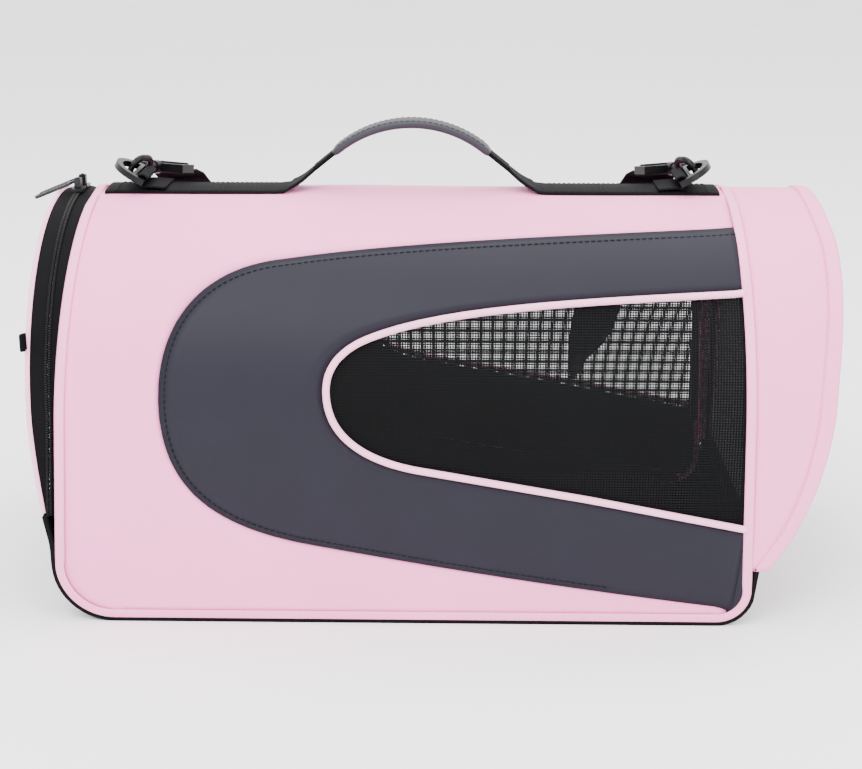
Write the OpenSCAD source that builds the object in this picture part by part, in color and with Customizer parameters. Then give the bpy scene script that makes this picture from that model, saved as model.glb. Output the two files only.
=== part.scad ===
// Tunnel-shaped soft pet carrier: laminated shell, mesh windows, zipped end door, visor, handle and strap.
// Frame: +X towards the visor end, -Y is the near side, Z up from the floor under the base's centre.

/* [Shell] */
// Outer radius of the arched roof, half the width of the bag
roof_r = 138; // [134:1:142]
// Height of the crown above the floor
crown_z = 283; // [279:1:287]
// Thickness of the padded laminate
shell_t = 3; // [2:0.5:4]
// Foot of the left edge along X
left_foot = 246; // [242:1:250]
// Foot of the right edge along X
right_foot = 240; // [236:1:244]
// Lean of the left edge, from foot to crown
left_lean = 15; // [10:1:18]
// Lean of the right edge, from foot to crown
right_lean = 8; // [4:1:12]
// Width of the edge binding
binding_w = 7; // [5:0.5:9]
// Height of the edge binding above the shell
binding_t = 1.6; // [1:0.2:2]

/* [Side panels] */
// Thickness of the grey side panels
trim_t = 1.2; // [0.8:0.1:1.4]
// Width of the window piping
piping_w = 5.5; // [4:0.5:7]
// Height of the window piping above the shell
piping_h = 3.6; // [2:0.2:4.4]
// Thickness of the window mesh
mesh_t = 1; // [0.6:0.1:1.4]

/* [Base] */
// Thickness of the base fabric
base_t = 2.5; // [2:0.5:3]
// Thickness of the stiffening board
board_t = 3; // [2:0.5:4]
// Thickness of the fleece mat
mat_t = 19; // [12:1:22]

/* [Door end] */
// Radius of the door's arch
door_r = 136; // [134.5:0.5:136.5]
// X of the zip's centre line on the arch, towards the door
zip_x = 243.5; // [242:0.5:246]
// X of the door panel's inner face
door_x = 256; // [254:1:258]
// Height of the door's lower edge
door_z = 78; // [72:1:90]
// Width of the frame around the door mesh
door_frame_w = 7; // [5:1:16]
// Half the width of the zip's two rows of teeth
teeth_w = 2.4; // [2:0.2:3]
// Width of a zip slider
slider_w = 8.4; // [7:0.2:8.8]
// Length of a zip slider
slider_l = 12; // [10:1:14]
// Length of a zip pull
pull_l = 35; // [25:1:40]

/* [Visor end] */
// X of the mesh end panel's inner face
end_x = 244; // [243:0.5:248]
// Height of the mesh end panel's lower edge
end_z = 40; // [36:1:50]
// Width of the visor's hem
hem_w = 11; // [8:1:14]

/* [Webbing and handle] */
// Width of the webbing
web_w = 38; // [36:1:40]
// Thickness of the webbing
web_t = 2; // [1.6:0.2:2.4]
// Width of the folded webbing in the handle
fold_w = 20; // [16:1:22]
// Width of the handle's grip
grip_w = 25; // [22:1:28]
// Thickness of the handle's grip
grip_t = 6; // [5.4:0.2:7]

/* [Strap fittings] */
// Outer width of a D-ring
ring_w = 46; // [44:1:48]
// Thickness of a D-ring
ring_t = 4.5; // [4:0.1:4.6]
// Tilt of the D-rings above the crown
ring_tilt = 28; // [24:1:30]
// Thickness of a snap hook
hook_t = 7; // [6:0.5:7]

/* [Hidden] */

$fn = 64;
pink = [0.92, 0.79, 0.85];
deep_pink = [0.90, 0.74, 0.81];
grey = [0.30, 0.30, 0.35];
charcoal = [0.22, 0.23, 0.24];
black = [0.07, 0.07, 0.08];
steel = [0.35, 0.35, 0.37];

axis_z = crown_z - roof_r;      // height of the roof's own axis
inner_r = roof_r - shell_t;
reach = 200;                    // half the width of every cutting prism
span = 700;                     // length of every cutting profile
left_corner = 40;               // radius of the base's curl at the door end
right_corner = 24;              // radius of the base's curl at the visor end
over = 9;                       // how far cutting outlines rise above the crown

// ---- outlines ----
function unit(v) = v / norm(v);
function reversed(p) = [for (i = [len(p) - 1:-1:0]) p[i]];
function arc(c, r, a0, a1, n = 8) =
    [for (i = [0:n]) let (a = a0 + (a1 - a0) * i / n) c + r * [cos(a), sin(a)]];
// A curve's points up to, but not including, its end
function bezier(a, b, c, d, n = 8) =
    [for (i = [0:n - 1]) let (t = i / n, s = 1 - t)
        s * s * s * a + 3 * s * s * t * b + 3 * s * t * t * c + t * t * t * d];
// A closed outline that runs counterclockwise, moved outwards by g
function grown(p, g) =
    [for (i = [0:len(p) - 1])
        let (n = len(p), v = unit(p[(i + 1) % n] - p[(i + n - 1) % n]))
        p[i] + g * [v[1], -v[0]]];
// An open line moved to its left by g
function beside(p, g) =
    [for (i = [0:len(p) - 1])
        let (v = unit(p[min(i + 1, len(p) - 1)] - p[max(i - 1, 0)]))
        p[i] + g * [-v[1], v[0]]];
function ribbon(p, t) = concat(beside(p, t / 2), reversed(beside(p, -t / 2)));

// Side view (X, Z) of the shell, drawn in by g
function shell_line(g) = concat(
    arc([-left_foot + left_corner, base_t + left_corner], left_corner - g, 180, 270),
    arc([right_foot - right_corner, base_t + right_corner], right_corner - g, 270, 360),
    [[right_foot - right_lean - g, crown_z + over], [-left_foot + left_lean + g, crown_z + over]]);
function panel_line() = concat(
    bezier([236, 267.5], [120, 263], [0, 260], [-83, 250]),
    bezier([-83, 250], [-135, 246], [-168, 222], [-168, 162]),
    bezier([-168, 162], [-168, 108], [-145, 72], [-61, 58]),
    bezier([-61, 58], [20, 43], [110, 27], [246, 11]),
    [[246, 11], [246, 268]]);
function window_line() = concat(
    bezier([222, 233.5], [110, 228], [20, 224], [-29, 205]),
    bezier([-29, 205], [-46, 198], [-57, 187], [-57, 170], 6),
    bezier([-57, 170], [-57, 140], [-35, 120], [5, 112]),
    [[5, 112], [246, 70], [246, 234.5]]);
function visor_line() = concat(
    bezier([right_foot, 29], [268, 58], [289, 110], [290, 162]),
    bezier([290, 162], [291, 195], [297, 235], [295, 262]),
    [[295, 262], [289, crown_z + over]]);
function zip_line() = [[-zip_x, crown_z + over], [-zip_x, 150], [-zip_x - 4.5, door_z]];

// ---- building blocks ----
module arch(r, z0 = 0) {
    intersection() {
        translate([0, axis_z]) circle(r = r, $fn = 96);
        translate([-reach, axis_z]) square([2 * reach, reach]);
    }
    translate([-r, z0]) square([2 * r, axis_z - z0]);
}
// An arched sheet between two radii, along the whole of X
module layer(outer, inner, z0 = 0) {
    rotate([90, 0, 90])
        translate([0, 0, -span / 2])
            linear_extrude(span)
                difference() {
                    arch(outer, z0);
                    arch(inner, z0 - 1);
                }
}
// A side view (X, Z) cut through both sides, or through one
module through() { translate([0, reach, 0]) rotate([90, 0, 0]) linear_extrude(2 * reach) children(); }
module one_side(far) { mirror([0, far ? 1 : 0, 0]) rotate([90, 0, 0]) linear_extrude(reach) children(); }
// A side view (X, Z) made w wide about Y = 0
module strip(w) { translate([0, w / 2, 0]) rotate([90, 0, 0]) linear_extrude(w) children(); }
module window_2d(g) {
    intersection() {
        polygon(grown(window_line(), g));
        polygon(shell_line(binding_w));
    }
}

// ---- shell ----
module shell_wrap() {
    color(pink)
        difference() {
            intersection() {
                layer(roof_r, inner_r, base_t);
                through() polygon(shell_line(0));
            }
            through() window_2d(-piping_w);
        }
}
module edge_binding() {
    color(pink)
        intersection() {
            layer(roof_r + binding_t, roof_r, base_t);
            through()
                difference() {
                    polygon(shell_line(0));
                    translate([0, -2.5]) polygon(shell_line(binding_w));
                    translate([0, over]) polygon(shell_line(binding_w));
                }
        }
}
module side_panel(far) {
    color(grey)
        intersection() {
            layer(roof_r + trim_t, roof_r, base_t);
            one_side(far)
                difference() {
                    intersection() {
                        polygon(panel_line());
                        polygon(shell_line(binding_w));
                    }
                    polygon(window_line());
                }
        }
}
module near_side_panel() { side_panel(false); }
module far_side_panel() { side_panel(true); }
module window_mesh(far) {
    color(black)
        intersection() {
            layer(roof_r - 1, roof_r - 1 - mesh_t, base_t);
            one_side(far) window_2d(-piping_w);
        }
}
module near_window_mesh() { window_mesh(false); }
module far_window_mesh() { window_mesh(true); }
module window_piping(far) {
    color(pink)
        intersection() {
            layer(roof_r + piping_h, roof_r, base_t);
            one_side(far)
                difference() {
                    window_2d(0);
                    polygon(grown(window_line(), -piping_w));
                }
        }
}
module near_window_piping() { window_piping(false); }
module far_window_piping() { window_piping(true); }

// Flat springs sewn inside the two ends, which keep the arch open
stay_t = 1.8;
module arch_stay(x_top, x_foot) {
    foot_z = 62;                // the base's curl ends below this
    color(black)
        intersection() {
            layer(inner_r, inner_r - stay_t, foot_z);
            through()
                polygon([[x_foot, 20], [x_foot + 6, 20], [x_top + 6, crown_z], [x_top, crown_z]]);
        }
}
module left_arch_stay() { arch_stay(-left_foot + left_lean + 2, -left_foot + 2); }
module right_arch_stay() { arch_stay(right_foot - right_lean - 8, right_foot - 8); }

// ---- base ----
sill = [-door_x + 0.5, door_z - 1];
module base_panel() {
    left_c = [-left_foot + left_corner, base_t + left_corner];
    right_c = [right_foot - right_corner, base_t + right_corner];
    outer = concat(
        [sill - [1.5, 0], [-left_foot - base_t - 0.5, 57]],
        arc(left_c, left_corner + base_t, 180, 270),
        arc(right_c, right_corner + base_t, 270, 345),
        [[end_x + 2, end_z]]);
    inner = concat(
        [[end_x - 0.5, end_z]],
        arc(right_c, right_corner, 345, 270),
        arc(left_c, left_corner, 270, 180),
        [[-left_foot, 60], sill + [1, 0]]);
    color(black) strip(2 * roof_r) polygon(concat(outer, inner));
}
module rounded_slab(x0, x1, half_y, r, z, t) {
    translate([0, 0, z])
        linear_extrude(t)
            union() {
                translate([x0 + r, -half_y]) square([x1 - x0 - 2 * r, 2 * half_y]);
                translate([x0, -half_y + r]) square([x1 - x0, 2 * half_y - 2 * r]);
                for (x = [x0 + r, x1 - r], y = [-half_y + r, half_y - r]) translate([x, y]) circle(r = r);
            }
}
board_x0 = -left_foot + left_corner + 2;
board_x1 = right_foot - right_corner - 2;
module base_board() { color(black) rounded_slab(board_x0, board_x1, inner_r - 2, 12, base_t, board_t); }
module fleece_mat() {
    color([0.86, 0.84, 0.82])
        rounded_slab(board_x0 + 2, board_x1 - 2, inner_r - 5, 25, base_t + board_t, mat_t);
}

// ---- zip and door ----
tape_t = 1.5;
zip_gap = 0.3;                  // between the door's half of the zip and the bag's
teeth_h = 1.4;
module zip_outer_tape() {
    color(black)
        intersection() {
            layer(door_r, door_r - tape_t, door_z + 0.5);
            through()
                difference() {
                    polygon(concat(zip_line(), [[-left_foot - 3, door_z - 17], [-200, door_z - 17],
                        [-200, crown_z + over]]));
                    polygon(shell_line(0));
                    translate([0, -100]) polygon(shell_line(0));
                }
        }
}
module teeth_row(from_x, to_x) {
    color([0.12, 0.12, 0.13])
        intersection() {
            layer(door_r + teeth_h, door_r, door_z);
            through()
                polygon(concat([for (p = zip_line()) p + [from_x, 0]],
                    reversed([for (p = zip_line()) p + [to_x, 0]])));
        }
}
module zip_outer_teeth() { teeth_row(0, teeth_w); }
module zip_inner_teeth() { teeth_row(-teeth_w, -zip_gap); }
module zip_inner_tape() {
    color(black)
        intersection() {
            layer(door_r, door_r - tape_t, door_z);
            through()
                polygon(concat([for (p = zip_line()) p - [zip_gap, 0]],
                    [[-door_x, door_z], [-door_x, crown_z + over]]));
        }
}
module end_plate(x, t, r, z0, hole, frame_w) {
    translate([x, 0, 0])
        rotate([90, 0, 90])
            linear_extrude(t)
                difference() {
                    arch(r, z0);
                    if (hole) arch(r - frame_w, z0 + frame_w);
                }
}
module door_frame() { color(black) end_plate(-door_x - 2, 2, door_r, door_z, true, door_frame_w); }
module door_mesh() {
    color(black) end_plate(-door_x - 1.5, mesh_t, door_r - door_frame_w, door_z + door_frame_w, false, 0);
}
module door_piping() {
    color(pink)
        intersection() {
            layer(door_r + 0.4, door_r - 3, door_z + 4);
            translate([-door_x - 5, -reach, 0]) cube([3, 2 * reach, span]);
        }
}
tab_drop = 1.5;                 // how far the door tab lies inside the door's arch, clear of a passing pull
tab_reach = 9;
tab_foot = 196;                 // height of the door tab's lower edge
tab_h = 12;
module door_tab() {
    color(black)
        intersection() {
            layer(door_r - tab_drop, door_r - tab_reach, door_z);
            translate([-door_x - 7, -reach, tab_foot]) cube([2, reach, tab_h]);
        }
}

// A slider's outer plate rides over both rows of teeth and turns about the roof's axis
slide_gap = 0.4;
plate_t = 2;
slider_turn = 3.2;              // angle of each slider from the crown
bail_r = crown_z + 7 - axis_z;  // radius at which a pull's pin lies
pin_r = 0.8;
module at_crown(turn) { translate([0, 0, axis_z]) rotate([turn, 0, 0]) children(); }
module zip_slider(turn) {
    plate_r = door_r + teeth_h + slide_gap;
    color(steel)
        at_crown(turn) {
            intersection() {
                rotate([0, 90, 0]) difference() {
                    cylinder(r = plate_r + plate_t, h = span, center = true, $fn = 96);
                    cylinder(r = plate_r, h = span + 2, center = true, $fn = 96);
                }
                translate([-zip_x - slider_w / 2, -slider_l / 2, 0]) cube([slider_w, slider_l, span]);
            }
            for (y = [-1.6, 1.6])
                translate([-zip_x - 2.5, y - 0.6, plate_r + plate_t - 0.3])
                    cube([5, 1.2, bail_r + 1.4 - plate_r - plate_t + 0.3]);
            translate([-zip_x, 0, bail_r]) rotate([90, 0, 0]) cylinder(r = pin_r, h = 3, center = true);
        }
}
module zip_slider_near() { zip_slider(slider_turn); }
module zip_slider_far() { zip_slider(-slider_turn); }
pull_slope = 22;
// A pull's loop in plan, h either side of its centre line
module pull_loop(h) {
    far_x = pull_l - 4;
    translate([-pull_neck, 0]) circle(r = h);
    translate([-far_x, 0]) circle(r = h);
    translate([-far_x, -h]) square([far_x - pull_neck, 2 * h]);
}
pull_t = 2;
pull_rim = 1.8;                 // width of a pull's rim
pull_neck = 9;                  // from a pull's pin to the start of its loop
module zip_pull(turn) {
    eye_r = 2.2;
    eye_w = 1.6;
    half = 4;
    color(steel)
        at_crown(turn)
            translate([-zip_x, 0, bail_r])
                rotate([0, -pull_slope, 0])
                    union() {
                        rotate([90, 0, 0]) difference() {
                            cylinder(r = eye_r, h = eye_w, center = true);
                            cylinder(r = pin_r + 0.1, h = 2 * eye_w, center = true);
                        }
                        translate([-pull_neck + 3, -eye_w / 2, -pull_t / 2]) cube([4.2, eye_w, pull_t]);
                        translate([0, 0, -pull_t / 2]) linear_extrude(pull_t) difference() {
                            pull_loop(half);
                            pull_loop(half - pull_rim);
                        }
                    }
}
module zip_pull_near() { zip_pull(slider_turn); }
module zip_pull_far() { zip_pull(-slider_turn); }

// ---- visor end ----
module end_frame() { color(black) end_plate(end_x, 2, inner_r, end_z, true, 16); }
module end_mesh() { color(black) end_plate(end_x + 0.5, mesh_t, inner_r - 16, end_z + 16, false, 0); }
module end_piping() {
    color(pink)
        translate([end_x + 2, 0, 0])
            rotate([90, 0, 90])
                linear_extrude(3)
                    difference() {
                        arch(inner_r - 12, end_z + 12);
                        arch(inner_r - 16, end_z + 16);
                    }
}
module visor_side(from_x, to_x) {
    difference() {
        polygon(concat([for (p = visor_line()) p + [to_x, 0]], [[200, crown_z + over], [200, 29]]));
        if (from_x > 0)
            polygon(concat([for (p = visor_line()) p + [to_x - from_x, 0]], [[199, crown_z + over + 1],
                [199, 20]]));
        polygon(shell_line(0));
    }
}
module visor() {
    color(pink)
        intersection() {
            layer(roof_r, inner_r, end_z + 1);
            through() visor_side(0, 0);
        }
}
module visor_hem() {
    color(deep_pink)
        intersection() {
            layer(roof_r + 1.2, roof_r, end_z + 1);
            through() visor_side(hem_w, 0);
        }
}

// ---- webbing on the crown, handle ----
web_r = roof_r + web_t;
foot_x = 90;                    // where the handle leaves the crown
fold_z = 298;                   // height of the fold that the handle turns about
fold_x = 71;
grip_x = 56;                    // half the length of the grip's chord
grip_z = 310;                   // height of the grip's ends
grip_rise = 21;                 // rise of the grip's middle above its ends
grip_r = (grip_x * grip_x + grip_rise * grip_rise) / (2 * grip_rise);
grip_c = [0, grip_z + grip_rise - grip_r];
half_turn = asin(grip_x / grip_r);
module crown_webbing(s) {
    mirror([s < 0 ? 1 : 0, 0, 0])
        color(charcoal)
            union() {
                intersection() {
                    layer(web_r, roof_r, 200);
                    translate([foot_x - 2, -web_w / 2, 0]) cube([222 - foot_x + 2, web_w, span]);
                }
                intersection() {
                    strip(web_w)
                        polygon(ribbon([[foot_x + 12, crown_z + web_t * 0.8],
                            [foot_x + 2, crown_z + web_t * 0.8], [fold_x + 9, 290.5], [fold_x, fold_z]],
                            web_t));
                    translate([0, 0, 200]) linear_extrude(span)
                        polygon([[0, -fold_w / 2], [fold_x, -fold_w / 2], [foot_x, -web_w / 2],
                            [120, -web_w / 2], [120, web_w / 2], [foot_x, web_w / 2],
                            [fold_x, fold_w / 2], [0, fold_w / 2]]);
                }
            }
}
module crown_webbing_left() { crown_webbing(-1); }
module crown_webbing_right() { crown_webbing(1); }
fold_t = 2 * web_t - 1;         // the webbing is folded double in the handle
module handle_side(t) {
    gap = [2, 1.6];             // room for the fold that the handle turns about
    polygon(ribbon(concat(
        [[-fold_x + gap[0], fold_z + gap[1]]],
        arc(grip_c, grip_r, 90 + half_turn, 90 - half_turn, 24),
        [[fold_x - gap[0], fold_z + gap[1]]]), t));
}
module handle_webbing() { color(charcoal) strip(fold_w) handle_side(fold_t); }
module handle_grip() {
    color(grey)
        difference() {
            strip(grip_w) polygon(ribbon(arc(grip_c, grip_r, 90 + half_turn, 90 - half_turn, 24), grip_t));
            strip(fold_w) handle_side(fold_t);
        }
}

// ---- D-rings, hooks and strap ends: drawn for the left end, mirrored for the right ----
module at_end(s) { mirror([s < 0 ? 0 : 1, 0, 0]) children(); }
bar = [-195, 291];              // X, Z of the D-ring's bar
bar_w = 4;
rail_w = 4.6;                   // width of the D-ring's rail
tab_slot = [-5.9, -2];          // slot for the tab, along the ring from its bar
second_bar = 2.5;
module at_ring() { translate([bar[0], 0, bar[1]]) rotate([0, ring_tilt, 0]) children(); }
module d_shape(r, u0, cut) {
    intersection() {
        union() {
            translate([-1, 0]) circle(r = r);
            translate([-1, -r]) square([20, 2 * r]);
        }
        translate([-60, -40]) square([60 + u0 - cut, 80]);
    }
}
module d_ring(s) {
    color(black)
        at_end(s)
            at_ring()
                translate([0, 0, -ring_t / 2])
                    linear_extrude(ring_t)
                        difference() {
                            d_shape(ring_w / 2, bar_w / 2, 0);
                            d_shape(ring_w / 2 - rail_w, tab_slot[0] - second_bar, 0);
                            translate([tab_slot[0], -web_w / 2 - 0.2])
                                square([tab_slot[1] - tab_slot[0], web_w + 0.4]);
                        }
}
module d_ring_left() { d_ring(-1); }
module d_ring_right() { d_ring(1); }
tab_t = 1.6;
tab_r = 4.4;
module ring_tab(s) {
    color(charcoal)
        at_end(s)
            strip(web_w - 1)
                polygon(ribbon(concat(
                    [[bar[0] + 17, crown_z + web_t + tab_t / 2], [bar[0] + 8, crown_z + web_t + tab_t]],
                    arc(bar, tab_r, -70, -340, 20)), tab_t));
}
module ring_tab_left() { ring_tab(-1); }
module ring_tab_right() { ring_tab(1); }

// The hook's own frame: x along the shank towards the strap, z up, its eye's centre at the origin
hook_at = [-202.5, 18, 295];
hook_yaw = 65;
hook_pitch = 8;
hook_roll = 30;                 // the eye's turn about the shank, which lets the D-ring's rail through
bar_r = 2.4;                    // radius of the hook's round bar
eye_l = 10.6;                   // half the length of the eye's centre line
eye_h = 8.2;                    // half its height, and the radius of its two ends
shank_r = 2.5;
gate_pin = [10.2, -6.6];        // X, Z of the gate's pin
gate_w = 4.6;
pin_fit = 0.05;                 // running clearance round the gate's pin
gate_pin_r = 0.8;
lug_w = 7.6;
module at_hook() { translate(hook_at) rotate([0, 0, hook_yaw]) rotate([0, hook_pitch, 0]) children(); }
// One rounded end of the eye: half a ring of round bar
module eye_end(e) {
    intersection() {
        translate([e * (eye_l - eye_h), 0, 0])
            rotate([90, 0, 0]) rotate_extrude() translate([eye_h, 0]) circle(r = bar_r, $fn = 32);
        translate([e > 0 ? eye_l - eye_h : -30 - (eye_l - eye_h), -10, -15]) cube([30, 20, 30]);
    }
}
boss_x = 8.4;                   // where the gate's lugs and the boss of the shank start
boss_r = 4.2;
boss_l = 5.9;
shank_l = 12.2;
gate_mouth = 3.6;               // depth below the shank's line at which the gate closes the eye
module hook_body() {
    difference() {
        union() {
            eye_end(-1);
            eye_end(1);
            translate([-(eye_l - eye_h), 0, eye_h])
                rotate([0, 90, 0]) cylinder(r = bar_r, h = 2 * (eye_l - eye_h), $fn = 32);
        }
        translate([-7, -10, -20]) cube([25, 20, 20 - gate_mouth]);
    }
    difference() {
        translate([boss_x, -lug_w / 2, -8.4]) cube([5, lug_w, 6.4]);
        translate([0, -gate_w / 2 - 0.3, -20]) cube([boss_x + boss_r, gate_w + 0.6, 20.2 - gate_mouth]);
    }
    translate([gate_pin[0], 0, gate_pin[1]])
        rotate([90, 0, 0]) cylinder(r = gate_pin_r, h = lug_w, center = true);
    translate([eye_l - 0.5, 0, 0]) rotate([0, 90, 0]) cylinder(r = boss_r, h = boss_l);
    translate([eye_l + 2, 0, 0]) rotate([0, 90, 0]) cylinder(r = shank_r, h = shank_l);
}
module hook(s) { color(black) at_end(s) at_hook() rotate([hook_roll, 0, 0]) hook_body(); }
module hook_left() { hook(-1); }
module hook_right() { hook(1); }
module hook_gate(s) {
    root_r = 1.7;
    color(charcoal)
        at_end(s)
            at_hook()
                rotate([hook_roll, 0, 0])
                    translate([0, gate_w / 2, 0])
                        rotate([90, 0, 0])
                            linear_extrude(gate_w)
                            difference() {
                                union() {
                                    polygon([[-6.4, -6.4], [-6.7, -8.8], [gate_pin[0], gate_pin[1] - root_r],
                                        [gate_pin[0], gate_pin[1] + root_r]]);
                                    translate(gate_pin) circle(r = root_r);
                                }
                                translate(gate_pin) circle(r = gate_pin_r + pin_fit);
                            }
}
module hook_gate_left() { hook_gate(-1); }
module hook_gate_right() { hook_gate(1); }
collar_x = 16.2;
frame_x = 21;
frame_l = 15;
tail_w = 47;
tail_t = 6;
rail_t = 3.8;                   // thickness of the swivel frame's two side rails
cross_t = 3.2;                  // thickness of its cross rail
collar_r = 5;
collar_l = 6.5;
loop_bar_r = 2.2;
loop_x = frame_x + frame_l - loop_bar_r;
module swivel(s) {
    color(black)
        at_end(s)
            at_hook()
                difference() {
                    union() {
                        translate([collar_x, 0, 0]) rotate([0, 90, 0]) cylinder(r = collar_r, h = collar_l);
                        translate([frame_x, -tail_w / 2, -tail_t / 2]) cube([cross_t, tail_w, tail_t]);
                        for (y = [-tail_w / 2, tail_w / 2 - rail_t])
                            translate([frame_x, y, -tail_t / 2]) cube([frame_l, rail_t, tail_t]);
                        translate([loop_x, 0, 0])
                            rotate([90, 0, 0])
                                cylinder(r = loop_bar_r, h = tail_w, center = true);
                    }
                    rotate([0, 90, 0]) cylinder(r = shank_r + 0.1, h = 25);
                }
}
module swivel_left() { swivel(-1); }
module swivel_right() { swivel(1); }
tongue_l = 7;                   // sewn end of the strap past its loop
strap_loop_r = 4.4;             // outside of the strap's loop round its bar
tongue_t = 3.4;
tongue_slope = 16;
module strap_end(s) {
    color(charcoal)
        at_end(s)
            at_hook()
                translate([loop_x, 0, 0])
                    rotate([90, 0, 0])
                        translate([0, 0, -web_w / 2])
                            linear_extrude(web_w)
                                difference() {
                                    union() {
                                        circle(r = strap_loop_r);
                                        translate([0, -strap_loop_r])
                                            rotate(-tongue_slope) square([tongue_l, tongue_t]);
                                    }
                                    circle(r = loop_bar_r + 0.1);
                                }
}
module strap_end_left() { strap_end(-1); }
module strap_end_right() { strap_end(1); }

// ---- shoulder strap ----
// Points along the strap as [x, y, z, twist]; twist 0 lies flat on the far wall, 90 stands edge-on to it
strap_route = [
    [-180, 64.5, 280, 0], [-177, 74.5, 272, 0], [-172, 90, 260, 0], [-167, 104, 247, 0], [-162, 117, 230, 0],
    [-157, 129, 210, 0], [-152, 139, 186, 0], [-150, 144.5, 165, 0], [-150, 144.5, 125, 0],
    [-150, 144.5, 85, 0], [-149, 147, 70, 15], [-144, 154, 54, 50], [-133, 161, 37, 85],
    [-115, 163, 20, 90], [-92, 163, 8, 90], [-64, 163, 2.4, 90], [-32, 163, 1.6, 90],
    [0, 163, 1.6, 90], [34, 163, 1.6, 90], [66, 163, 6, 90], [94, 163, 22, 90],
    [116, 163, 46, 90], [129, 163, 72, 92], [136, 162, 95, 105], [141, 155.5, 116, 140],
    [146, 148.5, 137, 165], [151, 145, 160, 180], [154, 139, 185, 180], [158, 129, 210, 180],
    [162, 117, 230, 180], [167, 104, 247, 180], [172, 90, 260, 180],
    [177, 74.5, 272, 180], [180, 64.5, 280, 180]];
strap_t = 2;
function route_point(i) = [strap_route[i][0], strap_route[i][1], strap_route[i][2]];
function route_heading(i) =
    unit(route_point(min(i + 1, len(strap_route) - 1)) - route_point(max(i - 1, 0)));
// The strap's width lies across its heading, as near to its twist as it can
function across(i) = let (t = route_heading(i), w = [cos(strap_route[i][3]), -sin(strap_route[i][3]), 0])
    unit(w - (w * t) * t);
function section(i) = let (w = across(i), n = cross(route_heading(i), w), a = web_w / 2, b = strap_t / 2)
    [for (p = [[a, b * 0.4], [a - 1, b], [-a + 1, b], [-a, b * 0.4],
               [-a, -b * 0.4], [-a + 1, -b], [a - 1, -b], [a, -b * 0.4]])
        route_point(i) + p[0] * w + p[1] * n];
module strap_webbing() {
    sides = 8;
    last = len(strap_route) - 1;
    color(charcoal)
        polyhedron(
            points = [for (i = [0:last]) for (p = section(i)) p],
            faces = concat(
                [[for (k = [0:sides - 1]) k]],
                [for (i = [0:last - 1]) for (k = [0:sides - 1]) let (j = (k + 1) % sides)
                    each [[i * sides + k, (i + 1) * sides + k, (i + 1) * sides + j],
                          [i * sides + k, (i + 1) * sides + j, i * sides + j]]],
                [[for (k = [sides - 1:-1:0]) last * sides + k]]),
            convexity = 6);
}
adjuster_z = 122;
module strap_adjuster() {
    w = web_w + 8;
    color(black)
        translate([-150, 144.5, adjuster_z])
            difference() {
                translate([-w / 2, -3, -14]) cube([w, 6, 28]);
                translate([-web_w / 2 - 0.4, -strap_t / 2 - 0.4, -20])
                    cube([web_w + 0.8, strap_t + 0.8, 40]);
                for (z = [-10, 3]) translate([-web_w / 2 - 0.4, 0, z]) cube([web_w + 0.8, 5, 7]);
            }
}

shell_wrap();
edge_binding();
near_side_panel();
far_side_panel();
near_window_mesh();
far_window_mesh();
near_window_piping();
far_window_piping();
left_arch_stay();
right_arch_stay();
base_panel();
base_board();
fleece_mat();
zip_outer_tape();
zip_outer_teeth();
door_frame();
door_mesh();
door_piping();
zip_inner_tape();
zip_inner_teeth();
door_tab();
zip_slider_near();
zip_pull_near();
zip_slider_far();
zip_pull_far();
end_frame();
end_mesh();
end_piping();
visor();
visor_hem();
crown_webbing_left();
crown_webbing_right();
ring_tab_left();
ring_tab_right();
handle_webbing();
handle_grip();
d_ring_left();
d_ring_right();
swivel_left();
swivel_right();
strap_end_left();
strap_end_right();
hook_left();
hook_right();
hook_gate_left();
hook_gate_right();
strap_webbing();
strap_adjuster();
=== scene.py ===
"""Looks of the tunnel-shaped pet carrier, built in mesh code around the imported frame."""

import math

import bmesh
import bpy
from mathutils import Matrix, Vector, noise


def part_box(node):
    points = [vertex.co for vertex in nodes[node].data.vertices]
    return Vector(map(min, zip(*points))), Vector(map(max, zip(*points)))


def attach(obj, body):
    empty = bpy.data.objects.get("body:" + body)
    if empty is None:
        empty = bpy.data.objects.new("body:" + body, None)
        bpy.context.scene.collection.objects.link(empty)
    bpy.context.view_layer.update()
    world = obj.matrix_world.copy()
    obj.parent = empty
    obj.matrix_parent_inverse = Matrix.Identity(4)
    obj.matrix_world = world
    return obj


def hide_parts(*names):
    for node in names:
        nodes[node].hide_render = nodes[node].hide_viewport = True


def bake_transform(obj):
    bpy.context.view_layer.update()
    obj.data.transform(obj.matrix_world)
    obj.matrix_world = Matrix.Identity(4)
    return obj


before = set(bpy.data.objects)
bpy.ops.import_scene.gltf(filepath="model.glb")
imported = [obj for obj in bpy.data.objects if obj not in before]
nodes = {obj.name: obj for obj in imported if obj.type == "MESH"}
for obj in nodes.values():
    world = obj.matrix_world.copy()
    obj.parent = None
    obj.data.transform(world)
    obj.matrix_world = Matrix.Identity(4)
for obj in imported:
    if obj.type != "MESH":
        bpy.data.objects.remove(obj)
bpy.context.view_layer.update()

# Sizes are in millimetres and are scaled by MM where a point is made
MM = 0.001
AXIS_Z = 145.0  # height of the roof's axis
ROOF_R = 138.0
CROWN_Z = 283.0
MID_S = AXIS_Z + ROOF_R * math.pi / 2  # distance round the section from floor to crown
DOOR_CURL, DOOR_CURL_R = (-206, 42.5), 40  # the shell's lower corner at the door end, as (x, z)
VISOR_CURL, VISOR_CURL_R = (216, 26.5), 24
DOOR_EDGE_X, DOOR_EDGE_LEAN = -246, 15
VISOR_EDGE_X, VISOR_EDGE_LEAN = 240, 8
EDGE_TOP_Z = 292
BINDING_W = 7  # width of the edge binding on the shell's sides
UNDER_BINDING = 5.6  # how far in from the edge the panels start
STEPS = 150  # points along the shell's and panels' outlines
WEB_W = 38
MERGE = 0.00002  # vertices nearer than this are one, in metres

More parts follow.
